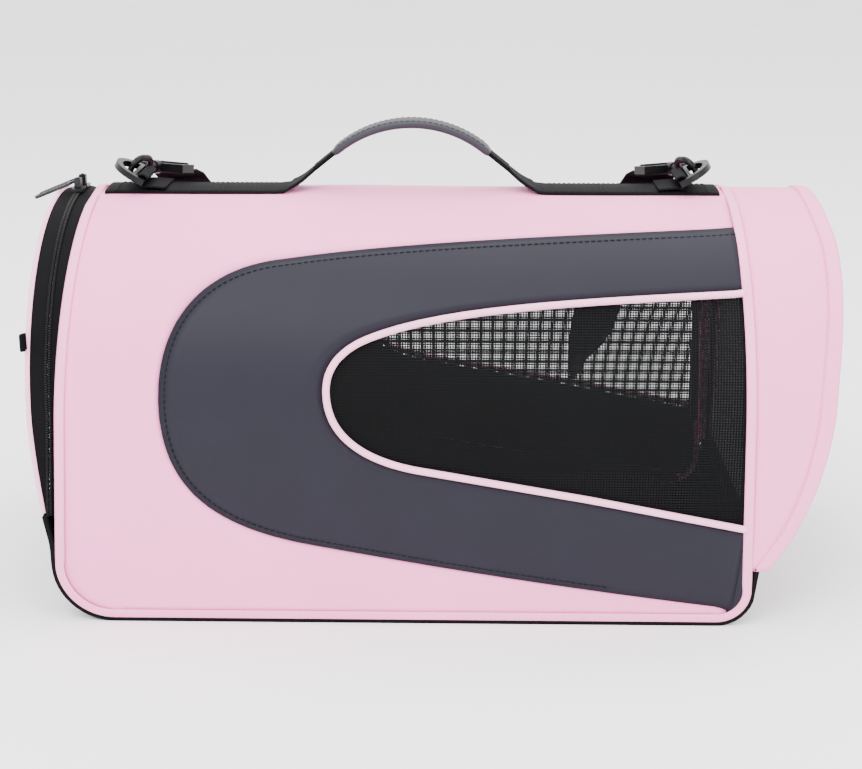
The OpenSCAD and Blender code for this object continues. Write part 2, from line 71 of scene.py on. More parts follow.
# ---------------------------------------------------------------- camera
camera_data = bpy.data.cameras.new("camera")
camera_data.lens = 69.3
camera_data.sensor_width = 36
camera = bpy.data.objects.new("camera", camera_data)
bpy.context.scene.collection.objects.link(camera)
camera.location = (0.038, -1.203, 0.505)
camera.rotation_euler = (math.radians(72.81), 0, 0.020)
bpy.context.scene.camera = camera


# ---------------------------------------------------------------- curves, in millimetres
def bezier(a, b, c, d, n=14):
    """n points of a cubic curve, without its last one."""
    out = []
    for i in range(n):
        t = i / n
        s = 1 - t
        out.append(
            tuple(
                s**3 * a[k] + 3 * s * s * t * b[k] + 3 * s * t * t * c[k] + t**3 * d[k]
                for k in range(2)
            )
        )
    return out


def arc(c, r, a0, a1, n=12):
    """n + 1 points on a circle, from angle a0 to a1 in degrees."""
    return [
        (
            c[0] + r * math.cos(math.radians(a0 + (a1 - a0) * i / n)),
            c[1] + r * math.sin(math.radians(a0 + (a1 - a0) * i / n)),
        )
        for i in range(n + 1)
    ]


def resample(points, n):
    """n + 1 points evenly spaced along a line of any dimension."""
    pts = [Vector(p) for p in points]
    run = [0.0]
    for a, b in zip(pts, pts[1:]):
        run.append(run[-1] + (b - a).length)
    out, k = [], 0
    for i in range(n + 1):
        d = run[-1] * i / n
        while k < len(run) - 2 and run[k + 1] < d:
            k += 1
        step = run[k + 1] - run[k] or 1
        out.append(pts[k].lerp(pts[k + 1], min(1, max(0, (d - run[k]) / step))))
    return out


def length_of(points):
    return sum((Vector(b) - Vector(a)).length for a, b in zip(points, points[1:]))


def right_edge(z, g=0.0):
    """X of the shell's visor-end edge at height z, drawn in by g."""
    x, foot = VISOR_CURL
    if z < foot:
        r = VISOR_CURL_R - g
        return x + math.sqrt(max(0, r * r - (foot - z) ** 2))
    return VISOR_EDGE_X - g - VISOR_EDGE_LEAN * (z - foot) / (EDGE_TOP_Z - foot)


def left_edge(z, g=0.0):
    """X of the shell's door-end edge at height z, drawn in by g."""
    x, foot = DOOR_CURL
    if z < foot:
        r = DOOR_CURL_R - g
        return x - math.sqrt(max(0, r * r - (foot - z) ** 2))
    return DOOR_EDGE_X + g + DOOR_EDGE_LEAN * (z - foot) / (EDGE_TOP_Z - foot)


PANEL = (
    bezier((236, 267.5), (120, 263), (0, 260), (-83, 250))
    + bezier((-83, 250), (-135, 246), (-168, 222), (-168, 162))
    + bezier((-168, 162), (-168, 108), (-145, 72), (-61, 58))
    + bezier((-61, 58), (20, 43), (110, 27), (246, 11))
    + [(246, 11)]
)
WINDOW = (
    [(240, 234.4)]
    + bezier((222, 233.5), (110, 228), (20, 224), (-29, 205))
    + bezier((-29, 205), (-46, 198), (-57, 187), (-57, 170), 8)
    + bezier((-57, 170), (-57, 140), (-35, 120), (5, 112))
    + [(5, 112), (125, 91), (246, 70)]
)


def drawn_in(line, g):
    """A side-view line moved by g towards its left-hand side."""
    pts = [Vector(p) for p in line]
    out = []
    for i, p in enumerate(pts):
        t = (pts[min(i + 1, len(pts) - 1)] - pts[max(i - 1, 0)]).normalized()
        out.append((p.x - t.y * g, p.y + t.x * g))
    return out


def clipped(line, g=BINDING_W):
    """A side-view line cut off g short of the shell's visor-end edge."""
    return [(min(x, right_edge(z, g)), z) for x, z in line]


def visor_x(z):
    """X of the visor's front edge at height z."""
    line = (
        bezier((240, 29), (268, 58), (289, 110), (290, 162))
        + bezier((290, 162), (291, 195), (297, 235), (295, 262))
        + [(295, 262), (289, 292)]
    )
    for a, b in zip(line, line[1:]):
        if a[1] <= z <= b[1]:
            return a[0] + (b[0] - a[0]) * (z - a[1]) / (b[1] - a[1])
    return line[-1][0]


def round_of(z):
    """Distance round the section from the near floor to height z."""
    if z <= AXIS_Z:
        return z
    return AXIS_Z + ROOF_R * math.asin(min(1, (z - AXIS_Z) / ROOF_R))


def height_of(s):
    """Height of the point at distance s round the section."""
    s = min(s, 2 * MID_S - s)
    return s if s <= AXIS_Z else AXIS_Z + ROOF_R * math.sin((s - AXIS_Z) / ROOF_R)


def on_arch(x, s, r=ROOF_R):
    """A point at X x and distance s round the section, at radius r, in metres."""
    if s <= AXIS_Z:
        return Vector((x, -r, s)) * MM
    if s >= 2 * MID_S - AXIS_Z:
        return Vector((x, r, 2 * MID_S - s)) * MM
    a = (s - AXIS_Z) / ROOF_R
    return Vector((x, -r * math.cos(a), AXIS_Z + r * math.sin(a))) * MM


def wrapped(line, far=False):
    """A side-view line laid round the section."""
    return [(x, 2 * MID_S - round_of(z) if far else round_of(z)) for x, z in line]


# ---------------------------------------------------------------- mesh building
def new_piece(name, verts, faces, material, uvs):
    mesh = bpy.data.meshes.new(name)
    mesh.from_pydata([tuple(v) for v in verts], [], faces)
    mesh.update()
    layer = mesh.uv_layers.new(name="uv")
    for loop in mesh.loops:
        layer.data[loop.index].uv = uvs[loop.vertex_index]
    mesh.materials.append(material)
    for p in mesh.polygons:
        p.use_smooth = True
    piece = bpy.data.objects.new(name, mesh)
    bpy.context.scene.collection.objects.link(piece)
    return piece


def cleaned(piece):
    """Joins vertices that meet, and turns the faces one way."""
    bm = bmesh.new()
    bm.from_mesh(piece.data)
    bmesh.ops.remove_doubles(bm, verts=bm.verts, dist=MERGE)
    bmesh.ops.dissolve_degenerate(bm, edges=bm.edges, dist=MERGE / 2)
    bmesh.ops.recalc_face_normals(bm, faces=bm.faces)
    bm.to_mesh(piece.data)
    bm.free()
    return piece


class Build:
    """Gathers vertices, faces and UVs of one piece."""

    def __init__(self):
        self.v, self.f, self.uv = [], [], []

    def grid(self, rows, uv):
        """A sheet of four-sided faces through rows of points."""
        start, w = len(self.v), len(rows[0])
        for i, row in enumerate(rows):
            for j, p in enumerate(row):
                self.v.append(p)
                self.uv.append(uv[i][j])
        for i in range(len(rows) - 1):
            for j in range(w - 1):
                a = start + i * w + j
                self.f.append([a, a + 1, a + w + 1, a + w])

    def tube(self, pts, r, sides):
        """A round bar along points in metres."""
        start = len(self.v)
        pts = [Vector(p) for p in pts]
        side = Vector((0.3, 0.2, 1)).normalized()
        run = 0.0
        for i, p in enumerate(pts):
            t = (pts[min(i + 1, len(pts) - 1)] - pts[max(i - 1, 0)]).normalized()
            side = (side - side.dot(t) * t).normalized()
            other = t.cross(side)
            run += (p - pts[i - 1]).length if i else 0
            for k in range(sides):
                a = 2 * math.pi * k / sides
                self.v.append(p + r * (math.cos(a) * side + math.sin(a) * other))
                self.uv.append((run, r * a))
        for i in range(len(pts) - 1):
            for k in range(sides):
                j = (k + 1) % sides
                a, b = start + i * sides, start + (i + 1) * sides
                self.f.append([a + k, a + j, b + j, b + k])
        self.f.append([start + k for k in range(sides)][::-1])
        self.f.append([len(self.v) - sides + k for k in range(sides)])

    def ribbon(self, pts, wide, widths, thick):
        """Flat webbing with soft edges: wide(i) is its width's direction at each point."""
        start = len(self.v)
        pts = [Vector(p) for p in pts]
        run = 0.0
        for i, p in enumerate(pts):
            t = (pts[min(i + 1, len(pts) - 1)] - pts[max(i - 1, 0)]).normalized()
            w = Vector(wide(i))
            w = (w - w.dot(t) * t).normalized()
            n = t.cross(w)
            half = (widths[i] if hasattr(widths, "__len__") else widths) / 2
            run += (p - pts[i - 1]).length if i else 0
            inner, round_off, shoulder = half - thick * 0.5, thick * 0.15, thick * 0.3
            ring = [(-inner + 2 * inner * k / 8, thick / 2) for k in range(9)]
            ring += [(half - round_off, shoulder), (half, 0), (half - round_off, -shoulder)]
            ring += [(inner - 2 * inner * k / 8, -thick / 2) for k in range(9)]
            ring += [(-half + round_off, -shoulder), (-half, 0), (-half + round_off, shoulder)]
            for u, h in ring:
                self.v.append(p + u * w + h * n)
                self.uv.append((run, u))
        count = len(ring)
        for i in range(len(pts) - 1):
            a, b = start + i * count, start + (i + 1) * count
            for k in range(count):
                j = (k + 1) % count
                self.f.append([a + k, b + k, b + j, a + j])
        self.f.append([start + k for k in range(count)])
        self.f.append([len(self.v) - count + k for k in range(count)][::-1])

    def piece(self, name, material):
        return new_piece(name, self.v, self.f, material, self.uv)

    def done(self, name, material):
        return cleaned(self.piece(name, material))


def thicken(piece, thickness, offset=-1.0, lining=None):
    """Gives a sheet its thickness, with a lining material on the inside where one is named."""
    mod = piece.modifiers.new("cloth thickness", "SOLIDIFY")
    if lining:
        piece.data.materials.append(lining)
        mod.material_offset = 1
    mod.thickness = thickness * MM
    mod.offset = offset
    mod.use_even_offset = False
    return piece


def outward(piece, base=False):
    """Turns every face away from the roof's axis, or for the base away from the cabin's middle."""
    bm = bmesh.new()
    bm.from_mesh(piece.data)
    for f in bm.faces:
        c = f.calc_center_median()
        away = Vector((0, c.y, max(0.0, c.z - AXIS_Z * MM)))
        if base:
            away = Vector((c.x, 0, c.z - AXIS_Z * MM))
        if f.normal.dot(away) < 0:
            f.normal_flip()
    bm.to_mesh(piece.data)
    bm.free()
    return piece


def ruffle(p, amount, scale, seed):
    """A small smooth bulge of cloth, the same on every run."""
    return amount * noise.noise(Vector((p[0] * scale + seed, p[1] * scale, 3.1 + seed)))


def loft(build, outer, inner, across, r, height=lambda v: 0.0, sag=0.0, far=False, seed=0.0):
    """A sheet on the arch between two matching lines of (x, s)."""
    rows, uvs = [], []
    for a, b in zip(outer, inner):
        row, uv = [], []
        for j in range(across + 1):
            v = j / across
            x, s = a[0] + (b[0] - a[0]) * v, a[1] + (b[1] - a[1]) * v
            edge = min(1, 4 * v, 4 * (1 - v)) if sag else 0
            row.append(on_arch(x, s, r + height(v) + edge * ruffle((x, s), sag, 0.012, seed)))
            uv.append((x * MM, s * MM))
        rows.append(row)
        uvs.append(uv)
    build.grid(rows, uvs)


# ---------------------------------------------------------------- materials
def material(name, color, rough, **kw):
    """A principled material; its node tree is returned for the detail."""
    m = bpy.data.materials.new(name)
    m.use_nodes = True
    tree = m.node_tree
    shader = tree.nodes["Principled BSDF"]
    shader.inputs["Base Color"].default_value = (*color, 1)
    shader.inputs["Roughness"].default_value = rough
    for k, v in kw.items():
        shader.inputs[k.replace("_", " ")].default_value = v
    return m, tree, shader


def link(tree, a, b):
    tree.links.new(a, b)


def tint(tree, shader, color, factor, spread):
    """Varies the base colour by a factor texture, darker to lighter."""
    ramp = tree.nodes.new("ShaderNodeValToRGB")
    ramp.color_ramp.elements[0].color = (*[c * (1 - spread) for c in color], 1)
    ramp.color_ramp.elements[1].color = (*[min(1, c * (1 + spread)) for c in color], 1)
    ramp.color_ramp.elements[0].position = 0.3
    ramp.color_ramp.elements[1].position = 0.7
    link(tree, factor, ramp.inputs["Fac"])
    link(tree, ramp.outputs["Color"], shader.inputs["Base Color"])


def noise_node(tree, scale, detail):
    coord = tree.nodes.new("ShaderNodeTexCoord")
    tex = tree.nodes.new("ShaderNodeTexNoise")
    tex.inputs["Scale"].default_value = scale
    tex.inputs["Detail"].default_value = detail
    link(tree, coord.outputs["Object"], tex.inputs["Vector"])
    return tex.outputs["Fac"]


def bump(tree, shader, height, strength, distance):
    node = tree.nodes.new("ShaderNodeBump")
    node.inputs["Strength"].default_value = strength
    node.inputs["Distance"].default_value = distance
    link(tree, height, node.inputs["Height"])
    link(tree, node.outputs["Normal"], shader.inputs["Normal"])


def weave(tree, pitch):
    """Height of a plain weave of one pitch, in metres, across the UVs."""
    uv = tree.nodes.new("ShaderNodeTexCoord").outputs["UV"]
    split = tree.nodes.new("ShaderNodeSeparateXYZ")
    link(tree, uv, split.inputs[0])
    waves = []
    for axis in ("X", "Y"):
        mul = tree.nodes.new("ShaderNodeMath")
        mul.operation = "MULTIPLY"
        mul.inputs[1].default_value = 2 * math.pi / pitch
        link(tree, split.outputs[axis], mul.inputs[0])
        sine = tree.nodes.new("ShaderNodeMath")
        sine.operation = "SINE"
        link(tree, mul.outputs[0], sine.inputs[0])
        waves.append(sine.outputs[0])
    mix = tree.nodes.new("ShaderNodeMath")
    mix.operation = "MULTIPLY"
    link(tree, waves[0], mix.inputs[0])
    link(tree, waves[1], mix.inputs[1])
    return mix.outputs[0]


def cloth(name, color, rough, pitch=0.0009, depth=0.00008, spread=0.05, sheen=0.15, gloss=0.3):
    m, tree, shader = material(name, color, rough, Specular_IOR_Level=gloss)
    shader.inputs["Sheen Weight"].default_value = sheen
    shader.inputs["Sheen Roughness"].default_value = 0.45
    tint(tree, shader, color, noise_node(tree, 14, 5), spread)
    bump(tree, shader, weave(tree, pitch), 0.5, depth)
    return m


def grained(name, color, rough, scale=900, depth=0.0001, spread=0.08, gloss=0.25):
    m, tree, shader = material(name, color, rough, Specular_IOR_Level=gloss)
    coord = tree.nodes.new("ShaderNodeTexCoord")
    cells = tree.nodes.new("ShaderNodeTexVoronoi")
    cells.inputs["Scale"].default_value = scale
    link(tree, coord.outputs["Object"], cells.inputs["Vector"])
    tint(tree, shader, color, noise_node(tree, 20, 6), spread)
    bump(tree, shader, cells.outputs["Distance"], 0.4, depth)
    return m


def hard(name, color, rough, metallic=0.0, scale=400, depth=0.00003, gloss=0.5):
    m, tree, shader = material(name, color, rough, Specular_IOR_Level=gloss)
    shader.inputs["Metallic"].default_value = metallic
    tint(tree, shader, color, noise_node(tree, 90, 4), 0.12)
    bump(tree, shader, noise_node(tree, scale, 3), 0.25, depth)
    return m


PINK = cloth("shell_fabric", (0.97, 0.285, 0.560), 0.5, spread=0.02, sheen=0.03, gloss=0.2)
BIND = cloth(
    "binding_fabric", (0.96, 0.315, 0.565), 0.6, pitch=0.0012, depth=0.00015, spread=0.04, gloss=0.2
)
HEM = cloth("hem_fabric", (0.97, 0.285, 0.560), 0.55, spread=0.03, sheen=0.03, gloss=0.2)
PIPE = cloth(
    "piping_fabric", (0.97, 0.45, 0.65), 0.55, pitch=0.001, depth=0.0001, spread=0.03, gloss=0.2
)
GREY = grained("panel_leather", (0.0118, 0.0112, 0.0180), 0.5, depth=0.00007, spread=0.05, gloss=0.14)
GRIP = grained("grip_leather", (0.0235, 0.0225, 0.030), 0.48, scale=700, gloss=0.2)


def dull_cloth(name, color, rough, **kw):
    """Dark cloth, which has no sheen."""
    return cloth(name, color, rough, sheen=0.0, **kw)


NET = dull_cloth("net_thread", (0.0022, 0.0025, 0.0030), 0.45, pitch=0.0006, spread=0.15, gloss=0.09)
BLACK = dull_cloth(
    "black_fabric", (0.0024, 0.0024, 0.0029), 0.7, pitch=0.0012, depth=0.00015, spread=0.2, gloss=0.08
)
LINING = dull_cloth("lining_fabric", (0.006, 0.006, 0.007), 0.7, pitch=0.0012, spread=0.15, gloss=0.1)
TAPE = dull_cloth(
    "zip_tape", (0.0024, 0.0024, 0.0030), 0.75, pitch=0.0014, depth=0.0002, spread=0.2, gloss=0.08
)
WEB = dull_cloth(
    "webbing", (0.0032, 0.0031, 0.0038), 0.65, pitch=0.0021, depth=0.0004, spread=0.2, gloss=0.05
)
THREAD_PINK = cloth("pink_thread", (0.80, 0.29, 0.46), 0.6, pitch=0.0008, gloss=0.2)
THREAD_GREY = dull_cloth("grey_thread", (0.0075, 0.0073, 0.0115), 0.6, pitch=0.0008, gloss=0.15)
THREAD_BLACK = dull_cloth("black_thread", (0.0032, 0.0032, 0.0038), 0.6, pitch=0.0008, gloss=0.15)
MOULDED = hard("moulded_black", (0.0035, 0.0035, 0.0042), 0.3, gloss=0.18)
COIL = hard("coil_teeth", (0.0045, 0.0045, 0.0052), 0.35, gloss=0.2)
METAL = hard("gunmetal", (0.030, 0.030, 0.033), 0.3, metallic=1.0)
STIFF = hard("stiffener", (0.012, 0.012, 0.013), 0.6, scale=150, gloss=0.15)
FLEECE = grained("fleece", (0.014, 0.014, 0.016), 0.95, scale=260, depth=0.0012, spread=0.15, gloss=0.1)


def finish_piece(piece, slot_name, *replaced, body="bag"):
    """The piece rides on a body and stands for CAD nodes, which it hides; slot_name is not used."""
    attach(piece, body)
    if replaced:
        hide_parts(*replaced)
    return piece


# ---------------------------------------------------------------- shoulder strap
# The route repeats the CAD's: x, y, z and twist
STRAP_ROUTE = [
    (-180, 64.5, 280, 0), (-177, 74.5, 272, 0), (-172, 90, 260, 0),
    (-167, 104, 247, 0), (-162, 117, 230, 0),
    (-157, 129, 210, 0), (-152, 139, 186, 0), (-150, 144.5, 165, 0), (-150, 144.5, 125, 0),
    (-150, 144.5, 85, 0), (-149, 147, 70, 15), (-144, 154, 54, 50), (-133, 161, 37, 85),
    (-115, 163, 20, 90), (-92, 163, 8, 90), (-64, 163, 2.4, 90), (-32, 163, 1.6, 90),
    (0, 163, 1.6, 90), (34, 163, 1.6, 90), (66, 163, 6, 90), (94, 163, 22, 90),
    (116, 163, 46, 90), (129, 163, 72, 92), (136, 162, 95, 105), (141, 155.5, 116, 140),
    (146, 148.5, 137, 165), (151, 145, 160, 180), (154, 139, 185, 180), (158, 129, 210, 180),
    (162, 117, 230, 180), (167, 104, 247, 180), (172, 90, 260, 180),
    (177, 74.5, 272, 180), (180, 64.5, 280, 180),
]
strap_line = resample(STRAP_ROUTE, 170)
strap_path = [Vector(p[:3]) * MM for p in strap_line]


def strap_width_way(i):
    twist = math.radians(strap_line[i][3])
    return (math.cos(twist), -math.sin(twist), 0)


b = Build()
b.ribbon(strap_path, strap_width_way, WEB_W * MM, 2 * MM)
strap = b.done("strap_webbing_woven", WEB)
finish_piece(strap, "webbing", "strap_webbing", body="strap")
length_of(strap_path)

# ---------------------------------------------------------------- shell
def shell_outline():
    """Crown, door-end edge, curl, foot and curl of the near side, as (x, z)."""
    return (
        [(right_edge(CROWN_Z, 3), CROWN_Z), (left_edge(CROWN_Z, 2), CROWN_Z)]
        + [(left_edge(z, 2), z) for z in range(280, 42, -8)]
        + arc(DOOR_CURL, DOOR_CURL_R - 2, 180, 270)
        + [(216, 4.5)]
        + arc(VISOR_CURL, VISOR_CURL_R - 2, 270, 290)
    )


panel_line = clipped(PANEL)
shell = Build()
for far in (False, True):
    # The crown's stretch of the outline has a fixed share of the points, to match the panel's
    outer = shell_outline()
    crown_part, rest = outer[:2], outer[1:]
    out_pts = resample(wrapped(crown_part, far), 62) + resample(wrapped(rest, far), STEPS - 63)
    in_pts = resample(wrapped(panel_line, far), STEPS)
    loft(shell, out_pts, in_pts, 14, ROOF_R, sag=0.5, seed=4.0 if far else 0.0)
shell = outward(shell.done("shell_laminate", PINK))
thicken(shell, 3, lining=LINING)
finish_piece(shell, "shell_fabric", "shell_wrap")

for side, far in (("near", False), ("far", True)):
    b = Build()
    outer = resample(wrapped(clipped(PANEL, UNDER_BINDING), far), STEPS)
    inner = resample(wrapped(clipped(WINDOW, UNDER_BINDING), far), STEPS)
    loft(b, outer, inner, 10, ROOF_R + 1.2, sag=0.4, seed=9.0)
    # The end that runs under the binding, from the panel's corner up to the window
    low = resample(wrapped([(right_edge(z, UNDER_BINDING), z) for z in range(11, 72, 4)], far), 16)
    a, c = [Vector(wrapped([(right_edge(z, UNDER_BINDING), z)], far)[0]) for z in (11, 70)]
    chord = [a.lerp(c, i / 16) for i in range(17)]
    loft(b, low, chord, 2, ROOF_R + 1.2)
    panel = outward(b.done(f"{side}_panel_leather", GREY))
    thicken(panel, 4.2, lining=LINING)
    finish_piece(panel, "panel_leather", f"{side}_side_panel")

# ---------------------------------------------------------------- edge binding
def puff(v):
    """Height of the folded binding across its width; its inner edge stands over the panel."""
    return 0.5 + 1.5 * math.sqrt(max(0.0, 1 - (1 - 1.6 * v) ** 4)) if v < 1 else 1.3


def edge_line(drawn, curl_drawn):
    """The shell's side edge from crown to foot to crown, drawn in by two amounts."""
    return (
        [(left_edge(z, drawn), z) for z in door_zs]
        + arc(DOOR_CURL, DOOR_CURL_R - curl_drawn, 180, 270, 16)
        + arc(VISOR_CURL, VISOR_CURL_R - curl_drawn, 270, 360, 14)
        + [(right_edge(z, drawn), z) for z in [*range(32, 281, 6), 283]]
    )


door_zs = range(283, 42, -6)
binding = Build()
for far in (False, True):
    outer, inner = edge_line(0, 0), edge_line(BINDING_W, 6.5)
    # The run along the foot is filled in with evenly spaced points
    k = len(door_zs) + 16
    foot = [-200 + 10 * i for i in range(41)]
    outer = outer[: k + 1] + [(x, 2.5) for x in foot] + outer[k + 1 :]
    inner = inner[: k + 1] + [(x, 9.0) for x in foot] + inner[k + 1 :]
    loft(binding, wrapped(outer, far), wrapped(inner, far), 8, ROOF_R, height=puff)
binding = outward(binding.done("edge_binding_tape", BIND))
thicken(binding, 1.2)
finish_piece(binding, "binding_fabric", "edge_binding")

# ---------------------------------------------------------------- window piping and net
PIPING_W = 5.5
NET_PITCH, NET_THREAD, NET_STEP = 1.9, 0.98, 4.0
NET_TUCK = 3.5  # how far a thread's ends run on under the cloth that holds the net

for side, far in (("near", False), ("far", True)):
    b = Build()
    line = resample(wrapped(clipped(drawn_in(WINDOW, PIPING_W / 2), 5), far), 170)
    b.tube([on_arch(x, s, ROOF_R + 1.7) for x, s in line], 2.5 * MM, 12)
    piping = b.done(f"{side}_window_cord_piping", PIPE)
    finish_piece(piping, "piping", f"{side}_window_piping")


def net(name, inside, u_range, v_range, place):
    """Open net: threads both ways where inside(u, v) holds, laid out by place(u, v, lift)."""
    b = Build()
    for across in (False, True):
        a_range, c_range = (v_range, u_range) if across else (u_range, v_range)
        a = a_range[0] + NET_PITCH / 2
        while a < a_range[1]:
            run = []
            c = c_range[0]
            while c <= c_range[1] + NET_STEP:
                u, v = (c, a) if across else (a, c)
                hit = c <= c_range[1] and inside(u, v)
                if hit:
                    run.append(c)
                if run and (not hit or c + NET_STEP > c_range[1]):
                    if len(run) > 1:
                        run = [run[0] - NET_TUCK] + run + [run[-1] + NET_TUCK]
                        rows, uvs = [], []
                        for k in run:
                            lift = 0.2 * (1 if across else -1)
                            edge = [(k, a + t * NET_THREAD, lift + 0.3 * (t == 0)) for t in (-0.5, 0, 0.5)]
                            if not across:
                                edge = [(y, x, h) for x, y, h in edge]
                            rows.append([place(*p) for p in edge])
                            uvs.append([(p[0] * MM, p[1] * MM) for p in edge])
                        b.grid(rows, uvs)
                    run = []
                c += NET_STEP
            a += NET_PITCH
    return b.piece(name, NET)


def inside_line(line):
    """A test of whether (x, s) is inside a closed line."""

    def test(x, s):
        hit = False
        for (x0, s0), (x1, s1) in zip(line, line[1:] + line[:1]):
            if (s0 > s) != (s1 > s) and x < x0 + (x1 - x0) * (s - s0) / (s1 - s0):
                hit = not hit
        return hit

    return test


for side, far in (("near", False), ("far", True)):
    line = wrapped(clipped(WINDOW, 6.5), far)
    lo, hi = min(p[1] for p in line), max(p[1] for p in line)
    piece = net(
        f"{side}_window_net",
        inside_line(line),
        (-57, 234),
        (lo, hi),
        lambda x, s, lift: on_arch(x, s, ROOF_R - 1.2 + lift),
    )
    finish_piece(piece, "mesh", f"{side}_window_mesh")

# ---------------------------------------------------------------- base
BASE_OUT = 2.5  # how far the base's cloth stands outside the shell's curls
profile = (
    [(-252.6, 78), (-250.8, 68), (-248.7, 57)]
    + arc(DOOR_CURL, DOOR_CURL_R + BASE_OUT, 180, 270)
    + arc(VISOR_CURL, VISOR_CURL_R + BASE_OUT, 270, 345)
    + [(244.4, 43)]
)
profile = resample(profile, 120)
base_ys = [-139 + 278 * j / 28 for j in range(29)]
b = Build()
b.grid(
    [[Vector((p[0], y, p[1])) * MM for y in base_ys] for p in profile],
    [[(i * 5 * MM, y * MM) for y in base_ys] for i in range(len(profile))],
)
base = outward(b.done("base_cover", BLACK), base=True)
thicken(base, 3.1)
finish_piece(base, "base_fabric", "base_panel")


# ---------------------------------------------------------------- fleece mat
VOXEL = 0.005
PRESSURE = 4.0
SIM_FRAMES = 20
MOST_MOVE = 0.006  # how far a point may move in the simulation, in metres
SIDE_ROOM, TOP_ROOM = 0.002, 0.003  # how far the padding may swell past the slab


def pillow(name, lo, hi, mat):
    """A padded slab, inflated by a short cloth simulation that is then applied."""
    bm = bmesh.new()
    bmesh.ops.create_cube(bm, size=1)
    for v in bm.verts:
        v.co = Vector((lo[k] + hi[k]) / 2 + v.co[k] * (hi[k] - lo[k]) for k in range(3))
    bmesh.ops.bevel(bm, geom=list(bm.edges), offset=0.006, segments=2, affect="EDGES")
    mesh = bpy.data.meshes.new(name)
    bm.to_mesh(mesh)
    bm.free()
    mesh.materials.append(mat)
    piece = bpy.data.objects.new(name, mesh)
    bpy.context.scene.collection.objects.link(piece)
    mod = piece.modifiers.new("voxels", "REMESH")
    mod.mode = "VOXEL"
    mod.voxel_size = VOXEL
    bpy.context.view_layer.update()
    dg = bpy.context.evaluated_depsgraph_get()
    made = bpy.data.meshes.new_from_object(piece.evaluated_get(dg))
    piece.modifiers.clear()
    piece.data = made
    rest = [v.co.copy() for v in made.vertices]
    sim = piece.modifiers.new("cloth", "CLOTH")
    sim.settings.use_pressure = True
    sim.settings.uniform_pressure_force = PRESSURE
    sim.settings.effector_weights.gravity = 0
    scene = bpy.context.scene
    for f in range(1, SIM_FRAMES + 1):
        scene.frame_set(f)
    dg = bpy.context.evaluated_depsgraph_get()
    made = bpy.data.meshes.new_from_object(piece.evaluated_get(dg))
    piece.modifiers.clear()
    piece.data = made
    for v, r in zip(made.vertices, rest):
        move = v.co - r
        if move.length > MOST_MOVE:
            v.co = r + move.normalized() * MOST_MOVE
        v.co.z = max(v.co.z, lo[2])
        for k in range(2):
            v.co[k] = min(max(v.co[k], lo[k] - SIDE_ROOM), hi[k] + SIDE_ROOM)
        v.co.z = min(v.co.z, hi[2] + TOP_ROOM)
    scene.frame_set(1)
    for p in piece.data.polygons:
        p.use_smooth = True
    smoothing = piece.modifiers.new("smooth", "SUBSURF")
    smoothing.levels = smoothing.render_levels = 1
    return piece


# The slab starts smaller than its CAD solid, because it swells
mat_lo, mat_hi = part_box("fleece_mat")
shrink = Vector((0.004, 0.004, 0.0))
mat_top = Vector(mat_hi) - shrink - Vector((0, 0, 0.003))
mat = pillow("fleece_mat_padded", Vector(mat_lo) + shrink, mat_top, FLEECE)
mat.data.materials.clear()
mat.data.materials.append(FLEECE)
finish_piece(mat, "fleece", "fleece_mat")


# ---------------------------------------------------------------- door end
DOOR_R = 136.0
DOOR_FOOT = 78  # height of the door's foot
LEAN_Z = 150  # below this the zip leans out and the door's face leans in


def zip_x(z):
    """X of the zip's middle at height z."""
    return -243.5 if z >= LEAN_Z else -243.5 - 4.5 * (LEAN_Z - z) / (LEAN_Z - DOOR_FOOT)


def rim_x(z):
    """X of the door's face at height z."""
    return -257 + (5.5 * ((LEAN_Z - z) / (LEAN_Z - DOOR_FOOT)) ** 1.6 if z < LEAN_Z else 0)


def round_from(start, count):
    """Even distances round the section, from start to the same height on the far side."""
    return [start + (2 * MID_S - 2 * start) * i / count for i in range(count + 1)]


door_s = round_from(DOOR_FOOT, 150)
for key, x_of in (
    ("outer", lambda z, v: zip_x(z) + 0.2 + v * (left_edge(max(z, 60), 3) - zip_x(z))),
    ("inner", lambda z, v: zip_x(z) - 0.3 + v * (rim_x(z) + 1 - zip_x(z))),
):
    b = Build()
    rows, uvs = [], []
    for s in door_s:
        z = height_of(s)
        rows.append([on_arch(x_of(z, k / 5), s, DOOR_R - 0.2) for k in range(6)])
        uvs.append([(s * MM, k * 2.5 * MM) for k in range(6)])
    b.grid(rows, uvs)
    piece = outward(b.done(f"zip_tape_{key}", TAPE))
    thicken(piece, 1.2)
    finish_piece(piece, "zip_tape", f"zip_{key}_tape", body="bag" if key == "outer" else "end_door")

TOOTH_PITCH = 1.7
for key, sign, body in (("outer", 1, "bag"), ("inner", -1, "end_door")):
    b = Build()
    count = int((door_s[-1] - door_s[0]) / TOOTH_PITCH)
    for i in range(count):
        s = door_s[0] + (i + (0.5 if sign > 0 else 0)) * TOOTH_PITCH
        x0 = zip_x(height_of(s)) + (0.1 if sign > 0 else -0.3)
        b.tube([on_arch(x0 + sign * t, s, DOOR_R + 0.55) for t in (0.0, 0.8, 1.9)], 0.6 * MM, 6)
    teeth = b.piece(f"zip_coil_{key}", COIL)
    finish_piece(teeth, "zip_teeth", f"zip_{key}_teeth", body=body)


